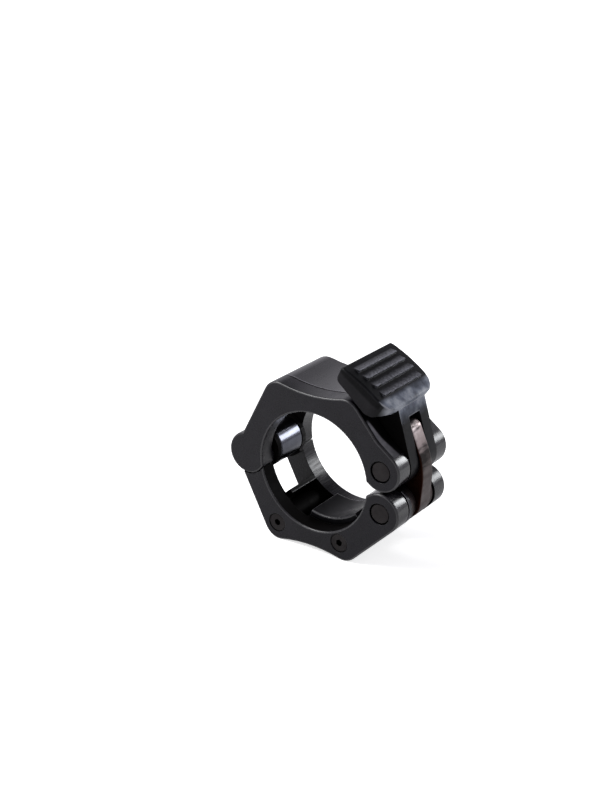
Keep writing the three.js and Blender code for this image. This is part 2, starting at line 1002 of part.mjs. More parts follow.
const linkBarrelFront = flangeBack + seatGap;
const link = cut(
  union(
    linkBand,
    disc(
      linkBarrelRadius,
      linkBarrelFront,
      middleHalf,
      lowerEar,
      linkEdge,
      linkEdge,
    ),
  ),
  slotSolid,
  rod(togglePinRadius + runningGap, -outer, outer, toggle),
);
const togglePin = rod(
  togglePinRadius,
  togglePinCover + seatGap - middleHalf,
  middleHalf - seatGap,
  toggle,
);

// Scene graph
const blackPlastic = { color: 0x2b2a2e, roughness: 0.42, metalness: 0 };
const padRubber = { color: 0x242426, roughness: 0.5, metalness: 0 };
const leverPlastic = { color: 0x33353a, roughness: 0.36, metalness: 0 };
const darkSteel = { color: 0x3b2720, roughness: 0.3, metalness: 0.85 };
const blackSteel = { color: 0x262220, roughness: 0.4, metalness: 0.8 };
const brightSteel = { color: 0x8d8c8a, roughness: 0.2, metalness: 1 };
const brass = { color: 0xb08d4a, roughness: 0.35, metalness: 0.9 };

function meshOf(name, made, look) {
  const m = made.getMesh();
  const count = m.numVert;
  const p = new Float32Array(count * 3);
  for (let i = 0; i < count; i++) {
    p.set(m.vertProperties.subarray(i * m.numProp, i * m.numProp + 3), i * 3);
  }
  const geometry = new THREE.BufferGeometry();
  geometry.setAttribute("position", new THREE.BufferAttribute(p, 3));
  geometry.setIndex(new THREE.BufferAttribute(new Uint32Array(m.triVerts), 1));
  geometry.computeVertexNormals();
  const mesh = new THREE.Mesh(geometry, new THREE.MeshStandardMaterial(look));
  mesh.name = name;
  return mesh;
}

const group = new THREE.Group();
const lowerJaw = new THREE.Group();
const upperJaw = new THREE.Group();
upperJaw.add(
  meshOf("upper_front_plate", upperPlate, blackPlastic),
  meshOf("upper_jaw_body", upperBody, blackPlastic),
  meshOf("upper_grip_pad", gripPad(1), padRubber),
  meshOf(
    "upper_screw_latch_side",
    screw(1, screwLatchX, screwZ, upperScrewEnd),
    blackSteel,
  ),
  meshOf(
    "upper_screw_hinge_side",
    screw(1, screwHingeX, screwZ, upperScrewEnd),
    blackSteel,
  ),
  meshOf(
    "upper_insert_latch_side",
    insert(upperInsertFrom, screwLatchX, screwZ),
    brass,
  ),
  meshOf(
    "upper_insert_hinge_side",
    insert(upperInsertFrom, screwHingeX, screwZ),
    brass,
  ),
  meshOf("hinge_pin", hingePin(), blackSteel),
  meshOf("hinge_barrel", hingeBarrel, brightSteel),
  meshOf("lever_pin", earPin(upperEar), blackSteel),
  meshOf("lever_pin_clip", clip(upperEar), blackSteel),
);
lowerJaw.add(
  meshOf("lower_front_plate", lowerPlate, blackPlastic),
  meshOf("lower_jaw_body", lowerBody, blackPlastic),
  meshOf("lower_grip_pad", gripPad(-1), padRubber),
  meshOf(
    "lower_screw_latch_side",
    screw(-1, screwLatchX, -screwZ, lowerScrewEnd),
    blackSteel,
  ),
  meshOf(
    "lower_screw_hinge_side",
    screw(-1, screwHingeX, -screwZ, lowerScrewEnd),
    blackSteel,
  ),
  meshOf(
    "lower_insert_latch_side",
    insert(lowerInsertFrom, screwLatchX, -screwZ),
    brass,
  ),
  meshOf(
    "lower_insert_hinge_side",
    insert(lowerInsertFrom, screwHingeX, -screwZ),
    brass,
  ),
  meshOf("link_pin", earPin(lowerEar), blackSteel),
  meshOf("link_pin_clip", clip(lowerEar), blackSteel),
);
const leverGroup = new THREE.Group();
leverGroup.add(
  meshOf("lever", lever, leverPlastic),
  meshOf("toggle_pin", togglePin, blackSteel),
  meshOf("toggle_link", link, darkSteel),
);
upperJaw.add(leverGroup);
group.add(lowerJaw, upperJaw);

export default group;
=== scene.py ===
"""Dresses the hinged quick-lock collar: satin moulded jaws, a mottled thumb lever, browned link."""

import json
import math

import bpy
from mathutils import Matrix, Vector


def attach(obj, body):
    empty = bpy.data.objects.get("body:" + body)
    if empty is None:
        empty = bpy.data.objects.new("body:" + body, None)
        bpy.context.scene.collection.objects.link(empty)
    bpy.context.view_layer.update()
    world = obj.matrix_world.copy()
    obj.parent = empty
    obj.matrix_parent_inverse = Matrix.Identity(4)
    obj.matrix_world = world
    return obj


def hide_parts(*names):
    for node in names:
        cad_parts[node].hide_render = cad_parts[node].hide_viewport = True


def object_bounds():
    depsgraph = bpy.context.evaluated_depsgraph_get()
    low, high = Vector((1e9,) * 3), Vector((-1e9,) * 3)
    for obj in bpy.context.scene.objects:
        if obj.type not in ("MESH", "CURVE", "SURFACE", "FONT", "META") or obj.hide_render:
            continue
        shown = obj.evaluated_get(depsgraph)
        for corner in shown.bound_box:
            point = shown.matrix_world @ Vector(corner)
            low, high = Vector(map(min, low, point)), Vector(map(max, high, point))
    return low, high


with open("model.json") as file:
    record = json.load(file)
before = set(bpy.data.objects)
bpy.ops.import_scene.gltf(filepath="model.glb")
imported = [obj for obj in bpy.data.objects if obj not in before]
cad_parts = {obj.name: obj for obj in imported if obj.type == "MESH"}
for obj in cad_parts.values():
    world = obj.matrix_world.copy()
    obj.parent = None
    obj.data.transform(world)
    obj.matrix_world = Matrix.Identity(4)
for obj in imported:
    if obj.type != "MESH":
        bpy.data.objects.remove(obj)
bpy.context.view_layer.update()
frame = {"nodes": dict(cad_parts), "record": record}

MM = 0.001

# Camera, fitted to the photograph; its sensor's size lies along the picture's height
CAMERA_AZIMUTH = math.radians(35.646)
CAMERA_ELEVATION = math.radians(22.372)
CAMERA_DISTANCE = 587.919 * MM
CAMERA_ACROSS = -17.08 * MM
CAMERA_UP = 25.08 * MM
CAMERA_LIFT = 0.8 * MM
CAMERA_NEAR = 10 * MM
SENSOR_SIZE = 36
FOCAL_PIXELS = 1304.845
PICTURE_HEIGHT = 800


def add_camera():
    """The camera at the photograph's viewing angle."""
    forward = Vector(
        (
            -math.sin(CAMERA_AZIMUTH) * math.cos(CAMERA_ELEVATION),
            math.cos(CAMERA_AZIMUTH) * math.cos(CAMERA_ELEVATION),
            -math.sin(CAMERA_ELEVATION),
        )
    )
    right = Vector((math.cos(CAMERA_AZIMUTH), math.sin(CAMERA_AZIMUTH), 0))
    upward = right.cross(forward)
    place = CAMERA_ACROSS * right + CAMERA_UP * upward - CAMERA_DISTANCE * forward
    place.z += CAMERA_LIFT
    data = bpy.data.cameras.new("product_camera")
    data.sensor_width = SENSOR_SIZE
    data.lens = FOCAL_PIXELS / PICTURE_HEIGHT * SENSOR_SIZE
    data.clip_start = CAMERA_NEAR
    camera = bpy.data.objects.new("product_camera", data)
    bpy.context.scene.collection.objects.link(camera)
    turn = Matrix((right, upward, -forward)).transposed().to_4x4()
    camera.matrix_world = Matrix.Translation(place) @ turn
    bpy.context.scene.camera = camera


# Nodes that the finishes share; a pair says where a change starts and where it is complete
EDGE_SAMPLES = 6
# Painted shade in gaps and inside corners: its samples, and the occlusion span it darkens over
GAP_SHADE_SAMPLES = 6
GAP_SHADE_SPAN = (0.35, 0.85)


def start_material(name):
    """A new material with its nodes, its shader and the place on the object."""
    material = bpy.data.materials.new(name)
    material.use_nodes = True
    tree = material.node_tree
    shader = next(node for node in tree.nodes if node.type == "BSDF_PRINCIPLED")
    place = tree.nodes.new("ShaderNodeTexCoord").outputs["Object"]
    return material, tree, shader, place


def add_math(tree, operation, *values):
    """A Math node; each value is a number or another node's output."""
    node = tree.nodes.new("ShaderNodeMath")
    node.operation = operation
    for socket, value in zip(node.inputs, values):
        if isinstance(value, (int, float)):
            socket.default_value = value
        else:
            tree.links.new(value, socket)
    return node.outputs[0]


def add_dot(tree, first, second):
    """How far one vector reaches along another, which is a tuple or another node's output."""
    node = tree.nodes.new("ShaderNodeVectorMath")
    node.operation = "DOT_PRODUCT"
    tree.links.new(first, node.inputs[0])
    if isinstance(second, tuple):
        node.inputs[1].default_value = second
    else:
        tree.links.new(second, node.inputs[1])
    return node.outputs["Value"]


def split_vector(tree, vector):
    """The vector's X, Y and Z."""
    node = tree.nodes.new("ShaderNodeSeparateXYZ")
    tree.links.new(vector, node.inputs["Vector"])
    return node.outputs


def add_noise(tree, place, pattern, stretch=(1, 1, 1), shift=(0, 0, 0)):
    """A noise of a named pattern; a stretch below 1 draws it out along that way."""
    mapping = tree.nodes.new("ShaderNodeMapping")
    mapping.inputs["Scale"].default_value = stretch
    mapping.inputs["Location"].default_value = shift
    tree.links.new(place, mapping.inputs["Vector"])
    noise = tree.nodes.new("ShaderNodeTexNoise")
    for socket, value in zip(("Scale", "Detail", "Roughness"), pattern):
        noise.inputs[socket].default_value = value
    tree.links.new(mapping.outputs["Vector"], noise.inputs["Vector"])
    return noise.outputs["Fac"]


def add_ramp(tree, value, stops):
    """Colours over a value, from stops of place and colour."""
    ramp = tree.nodes.new("ShaderNodeValToRGB")
    while len(ramp.color_ramp.elements) < len(stops):
        ramp.color_ramp.elements.new(0.5)
    for element, (position, colour) in zip(ramp.color_ramp.elements, stops):
        element.position = position
        element.color = (*colour, 1)
    tree.links.new(value, ramp.inputs["Fac"])
    return ramp.outputs["Color"]


def add_range(tree, value, low, high, to_low, to_high):
    """The value carried over from one range to another, and held at its ends."""
    node = tree.nodes.new("ShaderNodeMapRange")
    node.inputs["From Min"].default_value = low
    node.inputs["From Max"].default_value = high
    node.inputs["To Min"].default_value = to_low
    node.inputs["To Max"].default_value = to_high
    tree.links.new(value, node.inputs["Value"])
    return node.outputs["Result"]


def add_blend(tree, share, first, second, way="MIX"):
    """From the first colour to the second by a share."""
    node = tree.nodes.new("ShaderNodeMix")
    node.data_type = "RGBA"
    node.blend_type = way
    for socket, value in (("Factor", share), ("A", first), ("B", second)):
        if isinstance(value, tuple):
            node.inputs[socket].default_value = (*value, 1)
        elif isinstance(value, (int, float)):
            node.inputs[socket].default_value = value
        else:
            tree.links.new(value, node.inputs[socket])
    return node.outputs["Result"]


def add_bump(tree, height, strength, distance, normal):
    """The normal, roughened by a height pattern."""
    bump = tree.nodes.new("ShaderNodeBump")
    bump.inputs["Strength"].default_value = strength
    bump.inputs["Distance"].default_value = distance
    tree.links.new(height, bump.inputs["Height"])
    tree.links.new(normal, bump.inputs["Normal"])
    return bump.outputs["Normal"]


def add_soft_edge(tree, radius):
    """The normal, rounded off near edges."""
    bevel = tree.nodes.new("ShaderNodeBevel")
    bevel.samples = EDGE_SAMPLES
    bevel.inputs["Radius"].default_value = radius
    return bevel.outputs["Normal"]


def add_painted_gap_shade(tree, reach, colour, in_gaps):
    """The colour, with painted shade in gaps, grooves and inside corners within a reach."""
    node = tree.nodes.new("ShaderNodeAmbientOcclusion")
    node.samples = GAP_SHADE_SAMPLES
    node.inputs["Distance"].default_value = reach
    share = add_range(tree, node.outputs["AO"], *GAP_SHADE_SPAN, in_gaps, 1)
    tint = tree.nodes.new("ShaderNodeCombineColor")
    for channel in ("Red", "Green", "Blue"):
        tree.links.new(share, tint.inputs[channel])
    return add_blend(tree, 1.0, colour, tint.outputs["Color"], "MULTIPLY")


# Moulded plastic; a pattern is its repeats per metre, its octaves and their roughness
TONE_DRIFT = (70, 4, 0.5)
FLOW_HAZE = (260, 5, 0.6)
HAZE_SPAN = (0.35, 0.7)
HAZE_BUMP = 0.08
HAZE_DEPTH = 0.03 * MM
NOISE_SPAN = (0.3, 0.7)
SLEEVE_RUBS = (420, 3, 0.5)
RUB_STRETCH = (1, 0.12, 1)
RUB_SPAN = (0.55, 0.8)
RUB_ROUGHNESS = 0.07
SPARK_GRAIN = (2600, 2, 0.5)
GRAIN_DEPTH = 0.02 * MM
PLASTIC_SOFTNESS = 0.4 * MM
PLASTIC_GAP_SHADE_REACH = 2.5 * MM
PLASTIC_IN_GAPS = 0.2


def plastic_tones(tree, place, tones):
    """Slow tone drift under a finer flow haze."""
    drift = add_noise(tree, place, TONE_DRIFT)
    haze = add_noise(tree, place, FLOW_HAZE)
    share = add_range(tree, haze, *HAZE_SPAN, 0, 1)
    low, high = (add_ramp(tree, drift, stops) for stops in tones)
    return add_blend(tree, share, low, high), haze


def plastic_gloss(tree, place, haze, roughness):
    """Satin that follows the haze, with faint rubs along the sleeve's way."""
    rubs = add_noise(tree, place, SLEEVE_RUBS, RUB_STRETCH)
    satin = add_range(tree, haze, *NOISE_SPAN, *roughness)
    rubbed = add_range(tree, rubs, *RUB_SPAN, 0, RUB_ROUGHNESS)
    return add_math(tree, "ADD", satin, rubbed)


def finish_plastic(tree, shader, place, colour, haze, gloss, specular, grain, softness):
    """Colour, gloss, spark-eroded grain and softened edges."""
    tree.links.new(colour, shader.inputs["Base Color"])
    tree.links.new(gloss, shader.inputs["Roughness"])
    shader.inputs["Specular IOR Level"].default_value = specular
    fine = add_noise(tree, place, SPARK_GRAIN)
    coarse = add_bump(tree, haze, HAZE_BUMP, HAZE_DEPTH, add_soft_edge(tree, softness))
    tree.links.new(add_bump(tree, fine, grain, GRAIN_DEPTH, coarse), shader.inputs["Normal"])


def moulded_plastic(name, tones, roughness, specular, grain, in_gaps=PLASTIC_IN_GAPS):
    """Plastic of the jaws and grip pads, with painted shade in its gaps."""
    material, tree, shader, place = start_material(name)
    colour, haze = plastic_tones(tree, place, tones)
    gap_shaded = add_painted_gap_shade(tree, PLASTIC_GAP_SHADE_REACH, colour, in_gaps)
    gloss = plastic_gloss(tree, place, haze, roughness)
    finish_plastic(tree, shader, place, gap_shaded, haze, gloss, specular, grain, PLASTIC_SOFTNESS)
    return material


# The rear bore: where the painted shade of its deep part starts, and the light line along the rib
# under the window that the painted shade leaves out
BORE_DEEP = (10.7 * MM, 11.3 * MM)
RIB_LINE_FROM = (0.1 * MM, 0.5 * MM)
RIB_LINE_TO = (2.5 * MM, 3 * MM)
BORE_SCRATCHES = (900, 3, 0.6)
SCRATCH_STRETCH = (1, 0.06, 1)
SCRATCH_SPAN = (0.35, 0.65)
BORE_PAINTED_SHADE = (0.0015, 0.0013, 0.0013)
DEEP_ROUGHNESS = 0.45


def bore_wall(name, tones, roughness, specular, grain):
    """The rear flange's bore, rubbed glossy by the sleeve; matte further in, with painted shade
    there except along a line by the rib.
    """
    material, tree, shader, place = start_material(name)
    colour, haze = plastic_tones(tree, place, tones)
    parts = split_vector(tree, place)
    inwards = add_range(tree, parts["Y"], *BORE_DEEP, 1, 0)
    past_rib = add_math(tree, "SUBTRACT", parts["X"], parts["Z"])
    beside_rib = add_math(
        tree,
        "MAXIMUM",
        add_range(tree, past_rib, *RIB_LINE_FROM, 1, 0),
        add_range(tree, past_rib, *RIB_LINE_TO, 0, 1),
    )
    deep_shade_and_matte = add_math(tree, "MULTIPLY", inwards, beside_rib)
    # Painted shade in the deep part, left out along the rib's line
    deep_painted_shade = add_blend(tree, deep_shade_and_matte, colour, BORE_PAINTED_SHADE)
    gap_shaded = add_painted_gap_shade(tree, PLASTIC_GAP_SHADE_REACH, deep_painted_shade, PLASTIC_IN_GAPS)
    scratches = add_noise(tree, place, BORE_SCRATCHES, SCRATCH_STRETCH)
    satin = add_range(tree, scratches, *SCRATCH_SPAN, *roughness)
    gloss = add_math(tree, "ADD", satin, add_math(tree, "MULTIPLY", deep_shade_and_matte, DEEP_ROUGHNESS))
    finish_plastic(tree, shader, place, gap_shaded, haze, gloss, specular, grain, PLASTIC_SOFTNESS)
    return material


# The painted highlight streak under the lever: its front border, and its rear border at its lowest
# and highest
STREAK_FRONT = (-18.8 * MM, -18.1 * MM)
STREAK_HEIGHTS = (16 * MM, 30 * MM)
STREAK_BACKS = (-13.6 * MM, -17.1 * MM)
STREAK_BLUR = 0.5 * MM
STREAK_RISE = (18 * MM, 28 * MM)
STREAK_FAINTEST = 0.3
STREAK_END = (29.5 * MM, 31 * MM)
SLOPE_PAINTED_SHADE = (0.001, 0.001, 0.0012)
SLOPE_SOFTNESS = 0.2 * MM


def latch_slope(name, tones, roughness, specular, grain):
    """The plate's edge under the lever: a streak of painted highlight, with painted shade beside
    it.
    """
    material, tree, shader, place = start_material(name)
    colour, haze = plastic_tones(tree, place, tones)
    parts = split_vector(tree, place)
    back = add_range(tree, parts["Z"], *STREAK_HEIGHTS, *STREAK_BACKS)
    past = add_math(tree, "SUBTRACT", parts["Y"], back)
    painted_streak = add_math(
        tree,
        "MULTIPLY",
        add_range(tree, parts["Y"], *STREAK_FRONT, 0, 1),
        add_range(tree, past, -STREAK_BLUR, STREAK_BLUR, 1, 0),
    )
    fading = add_math(
        tree,
        "MULTIPLY",
        add_range(tree, parts["Z"], *STREAK_RISE, STREAK_FAINTEST, 1),
        add_range(tree, parts["Z"], *STREAK_END, 1, 0),
    )
    # Painted highlight streak over painted shade
    colour = add_blend(tree, add_math(tree, "MULTIPLY", painted_streak, fading), SLOPE_PAINTED_SHADE, colour)
    gloss = plastic_gloss(tree, place, haze, roughness)
    finish_plastic(tree, shader, place, colour, haze, gloss, specular, grain, SLOPE_SOFTNESS)
    return material


# The thumb pad's slope: its tip and its two directions
PAD_TIP = (14.7 * MM, 0, 53.2 * MM)
PAD_SLOPE = math.radians(34.5)
PAD_ALONG = (math.cos(PAD_SLOPE), 0, -math.sin(PAD_SLOPE))
PAD_UP = (math.sin(PAD_SLOPE), 0, math.cos(PAD_SLOPE))

# Its ridges: where they start, how they repeat, and the field they fill
RIDGE_FIRST = 6 * MM
RIDGE_PITCH = 5 * MM
RIDGE_WOBBLE = (300, 2, 0.5)
RIDGE_SHAKE = 0.05
RIDGES_START = (2.7 * MM, 3.2 * MM)
RIDGES_END = (21.9 * MM, 22.7 * MM)
RIDGES_SIDE = (14.7 * MM, 15.2 * MM)
RIDGES_TOP = (-1.2 * MM, -0.6 * MM)

# A ridge's painted groove shadow, in shares of the pitch, and the painted highlight on its crest
GROOVE_START_SHARES = (0.0, 0.06)
GROOVE_FADE_SHARES = (0.3, 1.0)
GROOVE_CURVE = 0.6
GROOVE_PAINTED_SHADOW = (0.002, 0.002, 0.003)
CREST_SPECKLE = (900, 4, 0.7)
CREST_HIGHLIGHT_TONES = [(0.34, (0.04, 0.0405, 0.049)), (0.62, (0.21, 0.213, 0.245))]

# The pad's smooth end: its clouds, in tones painted light for its sheen; where it starts, how far
# down it goes and how far round
END_CLOUDS = (130, 3, 0.55)
CLOUD_SHIFT = (0.43, 0.1, 0.25)
CLOUD_AND_SHEEN_TONES = [
    (0.34, (0.05, 0.057, 0.077)),
    (0.48, (0.125, 0.141, 0.182)),
    (0.62, (0.3, 0.32, 0.365)),
]
END_START = (21.5 * MM, 23.5 * MM)
END_BOTTOM = (-6 * MM, -2 * MM)
END_TURN = (0.6, 0.88)

# The end's rims with a painted highlight: how wide they are, and how strong the highlight is on its
# corners
RIM_WIDTH = 0.9 * MM
RIM_TURN = (0.9, 0.99)
CORNER_TURN = (0.25, 0.6)
CORNER_SHARE = 0.8
RIM_HIGHLIGHT_TONE = (0.42, 0.43, 0.46)

LEVER_SOFTNESS = 0.3 * MM
LEVER_GAP_SHADE_REACH = 2 * MM
LEVER_IN_GAPS = 0.15


def distance_on_pad(tree, place, way):
    """How far a point lies from the pad's tip, along the pad or up from it."""
    start = sum(tip * share for tip, share in zip(PAD_TIP, way))
    return add_math(tree, "SUBTRACT", add_dot(tree, place, way), start)


def ridge_highlight_and_shadow(tree, place, along):
    """A painted highlight rising to each crest, a painted shadow in the groove after it."""
    wobble = add_noise(tree, place, RIDGE_WOBBLE)
    speckle = add_noise(tree, place, CREST_SPECKLE)
    turns = add_math(tree, "DIVIDE", add_math(tree, "SUBTRACT", along, RIDGE_FIRST), RIDGE_PITCH)
    shake = add_range(tree, wobble, *NOISE_SPAN, -RIDGE_SHAKE, RIDGE_SHAKE)
    shaken = add_math(tree, "ADD", turns, shake)
    past_crest = add_math(tree, "FRACT", add_math(tree, "ADD", shaken, 1.0))
    fade = add_range(tree, past_crest, *GROOVE_FADE_SHARES, 1, 0)
    groove_shadow = add_math(
        tree,
        "MULTIPLY",
        add_range(tree, past_crest, *GROOVE_START_SHARES, 0, 1),
        add_math(tree, "POWER", fade, GROOVE_CURVE),
    )
    return add_blend(tree, groove_shadow, add_ramp(tree, speckle, CREST_HIGHLIGHT_TONES), GROOVE_PAINTED_SHADOW)


def ridge_field(tree, along, height, sideways):
    """1 on the ridges, 0 elsewhere."""
    among = add_math(
        tree,
        "MULTIPLY",
        add_range(tree, along, *RIDGES_START, 0, 1),
        add_range(tree, along, *RIDGES_END, 1, 0),
    )
    within = add_range(tree, sideways, *RIDGES_SIDE, 1, 0)
    top = add_range(tree, height, *RIDGES_TOP, 0, 1)
    return add_math(tree, "MULTIPLY", add_math(tree, "MULTIPLY", among, within), top)


def mottled_lever(name, tones, roughness, specular, grain):
    """The lever's thumb pad and arms: painted groove shadows, painted crest highlights and a
    mottled end in tones painted light for its sheen.
    """
    material, tree, shader, place = start_material(name)
    colour, haze = plastic_tones(tree, place, tones)
    along = distance_on_pad(tree, place, PAD_ALONG)
    height = distance_on_pad(tree, place, PAD_UP)
    sideways = add_math(tree, "ABSOLUTE", split_vector(tree, place)["Y"])
    ridged = ridge_field(tree, along, height, sideways)
    # Painted highlight on the ridge crests, painted shadow in their grooves
    colour = add_blend(tree, ridged, colour, ridge_highlight_and_shadow(tree, place, along))

    # The smooth end: cloudy patches where the finish has been handled, in tones painted light for
    # its sheen
    normal = tree.nodes.new("ShaderNodeNewGeometry").outputs["Normal"]
    turned = add_math(tree, "ABSOLUTE", split_vector(tree, normal)["Y"])
    ending = add_math(
        tree,
        "MULTIPLY",
        add_range(tree, along, *END_START, 0, 1),
        add_range(tree, height, *END_BOTTOM, 0, 1),
    )
    ending = add_math(tree, "MULTIPLY", ending, add_range(tree, turned, *END_TURN, 1, 0))
    patches = add_noise(tree, place, END_CLOUDS, shift=CLOUD_SHIFT)
    colour = add_blend(tree, ending, colour, add_ramp(tree, patches, CLOUD_AND_SHEEN_TONES))

    # Its rims and corners, with a painted highlight
    rounded = add_dot(tree, add_soft_edge(tree, RIM_WIDTH), normal)
    rim = add_range(tree, rounded, *RIM_TURN, 1, 0)
    corner = add_range(tree, turned, *CORNER_TURN, 0, CORNER_SHARE)
    painted_light = add_math(tree, "MULTIPLY", add_math(tree, "MAXIMUM", rim, corner), ending)
    colour = add_blend(tree, painted_light, colour, RIM_HIGHLIGHT_TONE)

    gap_shaded = add_painted_gap_shade(tree, LEVER_GAP_SHADE_REACH, colour, LEVER_IN_GAPS)
    gloss = plastic_gloss(tree, place, haze, roughness)
    finish_plastic(tree, shader, place, gap_shaded, haze, gloss, specular, grain, LEVER_SOFTNESS)
    return material


# The pad's flanks, with painted shade above a height that is measured up from the pad's tip
FLANK_SHADE_ABOVE = (-3.2 * MM, -2.2 * MM)
FLANK_SHAKE = 0.3 * MM
FLANK_PAINTED_SHADE = (0.0015, 0.0015, 0.002)
FLANK_IN_GAPS = 0.2


def lever_flank(name, tones, roughness, specular, grain):
    """The pad's two flanks: painted shade along the top under the rim, smooth grey below."""
    material, tree, shader, place = start_material(name)
    colour, haze = plastic_tones(tree, place, tones)
    height = distance_on_pad(tree, place, PAD_UP)
    shake = add_range(tree, haze, *NOISE_SPAN, -FLANK_SHAKE, FLANK_SHAKE)
    flank_shade = add_range(tree, add_math(tree, "ADD", height, shake), *FLANK_SHADE_ABOVE, 0, 1)
    colour = add_blend(tree, flank_shade, colour, FLANK_PAINTED_SHADE)
    gap_shaded = add_painted_gap_shade(tree, LEVER_GAP_SHADE_REACH, colour, FLANK_IN_GAPS)
    gloss = plastic_gloss(tree, place, haze, roughness)
    finish_plastic(tree, shader, place, gap_shaded, haze, gloss, specular, grain, LEVER_SOFTNESS)
    return material


# Treated steel and brass: the strokes and pits of their surface, and the heights over which the
# link's painted highlight and shade run
METAL_PATCHES = (140, 5, 0.6)
METAL_STROKES = (500, 3, 0.5)
STROKE_BUMP = 0.1
STROKE_DEPTH = 0.02 * MM
METAL_PITS = (3200, 1, 0.5)
PIT_BUMP = 0.06
PIT_DEPTH = 0.01 * MM
METAL_SOFTNESS = 0.25 * MM
METAL_GAP_SHADE_REACH = 2.5 * MM
METAL_IN_GAPS = 0.15
LINK_HEIGHTS = (-10 * MM, 29 * MM)
LENGTHWISE_SHAKE = 0.07
SIDE_TURN = (0.5, 0.9)


def machined_metal(name, tones, roughness, brush, side=None, lengthwise_light=None):
    """Treated metal: tone patches, brushed gloss, tiny pits, painted highlight and shade along its
    length, and painted shade on its sides.
    """
    material, tree, shader, place = start_material(name)
    strokes = add_noise(tree, place, METAL_STROKES, brush)
    colour = add_ramp(tree, add_noise(tree, place, METAL_PATCHES), tones)
    # Painted highlight near the link's eye and painted shade along its middle
    if lengthwise_light:
        along = add_range(tree, split_vector(tree, place)["Z"], *LINK_HEIGHTS, 0, 1)
        shake = add_range(tree, strokes, *NOISE_SPAN, -LENGTHWISE_SHAKE, LENGTHWISE_SHAKE)
        painted_light = add_ramp(tree, add_math(tree, "ADD", along, shake), lengthwise_light)
        colour = add_blend(tree, 1.0, colour, painted_light, "MULTIPLY")
    # Painted shade on the sides that face along the sleeve
    if side:
        normal = tree.nodes.new("ShaderNodeNewGeometry").outputs["True Normal"]
        turned = add_math(tree, "ABSOLUTE", split_vector(tree, normal)["Y"])
        colour = add_blend(tree, add_range(tree, turned, *SIDE_TURN, 0, 1), colour, side)
    gap_shaded = add_painted_gap_shade(tree, METAL_GAP_SHADE_REACH, colour, METAL_IN_GAPS)
    tree.links.new(gap_shaded, shader.inputs["Base Color"])
    gloss = add_range(tree, strokes, *NOISE_SPAN, *roughness)
    tree.links.new(gloss, shader.inputs["Roughness"])
    shader.inputs["Metallic"].default_value = 1
    soft = add_soft_edge(tree, METAL_SOFTNESS)
    drawn = add_bump(tree, strokes, STROKE_BUMP, STROKE_DEPTH, soft)
    pitted = add_bump(tree, add_noise(tree, place, METAL_PITS), PIT_BUMP, PIT_DEPTH, drawn)
    tree.links.new(pitted, shader.inputs["Normal"])
    return material


# Tones of the plastics: ramps over the drift, the first under thin haze, the second under thick
PLATE_TONES = (
    [(0.3, (0.0032, 0.0028, 0.0048)), (0.7, (0.0052, 0.0046, 0.0074))],
    [(0.3, (0.0050, 0.0045, 0.0070)), (0.7, (0.0076, 0.0069, 0.0104))],
)
BODY_TONES = (
    [(0.3, (0.0080, 0.0076, 0.0100)), (0.7, (0.0120, 0.0115, 0.0146))],
    [(0.3, (0.0120, 0.0115, 0.0144)), (0.7, (0.0170, 0.0164, 0.0200))],
)
# Painted highlight of the streak on the latch slope
SLOPE_STREAK_HIGHLIGHT_TONES = (
    [(0.3, (0.160, 0.158, 0.180)), (0.7, (0.260, 0.256, 0.286))],
    [(0.3, (0.260, 0.256, 0.282)), (0.7, (0.400, 0.394, 0.436))],
)
# Painted highlight on rims and softened edges, lighter than the body
EDGE_HIGHLIGHT_TONES = (
    [(0.3, (0.011, 0.0105, 0.0128)), (0.7, (0.018, 0.0173, 0.0202))],
    [(0.3, (0.018, 0.0173, 0.0200)), (0.7, (0.028, 0.0271, 0.0308))],
)
# Painted highlight along the bodies' rounded seam edges
SEAM_HIGHLIGHT_TONES = (
    [(0.3, (0.065, 0.063, 0.073)), (0.7, (0.100, 0.097, 0.112))],
    [(0.3, (0.100, 0.097, 0.111)), (0.7, (0.160, 0.155, 0.174))],
)
# Painted shade for the hollow's walls, the gap behind the plates, the lower plate's bore and the
# lever arms' outer sides
INSIDE_SHADE_TONES = (
    [(0.3, (0.0012, 0.0010, 0.0010)), (0.7, (0.0018, 0.0015, 0.0015))],
    [(0.3, (0.0018, 0.0015, 0.0016)), (0.7, (0.0028, 0.0024, 0.0024))],
)
LEVER_TONES = (
    [(0.3, (0.0022, 0.0023, 0.0029)), (0.7, (0.0038, 0.0040, 0.0049))],
    [(0.35, (0.0044, 0.0046, 0.0056)), (0.7, (0.0072, 0.0076, 0.0092))],
)
FLANK_TONES = (
    [(0.3, (0.008, 0.0077, 0.0089)), (0.7, (0.011, 0.0106, 0.0121))],
    [(0.3, (0.011, 0.0106, 0.0120)), (0.7, (0.015, 0.0144, 0.0163))],
)
GRIP_TONES = (
    [(0.3, (0.003, 0.003, 0.0035)), (0.7, (0.005, 0.005, 0.0058))],
    [(0.3, (0.005, 0.005, 0.006)), (0.7, (0.008, 0.008, 0.0092))],
)

# Tones of the metals: ramps over the patches; the link's painted highlight and shade run from its
# foot to its eye
LINK_TONES = [
    (0.25, (0.045, 0.036, 0.035)),
    (0.5, (0.07, 0.058, 0.057)),
    (0.75, (0.11, 0.097, 0.096)),
]
LINK_HIGHLIGHT_AND_SHADE = [
    (0.3, (1.2, 1.18, 1.18)),
    (0.46, (0.85, 0.82, 0.8)),
    (0.56, (0.13, 0.11, 0.1)),
    (0.61, (0.22, 0.2, 0.19)),
    (0.75, (2.7, 2.7, 2.7)),
    (0.86, (3.3, 3.3, 3.3)),
    (0.93, (0.5, 0.48, 0.47)),
    (0.96, (0.08, 0.07, 0.07)),
]
LINK_SIDE_SHADE = (0.018, 0.006, 0.0035)
PIN_TONES = [(0.3, (0.018, 0.016, 0.0165)), (0.7, (0.032, 0.0295, 0.030))]
BARREL_TONES = [(0.3, (0.066, 0.068, 0.082)), (0.7, (0.096, 0.1, 0.119))]
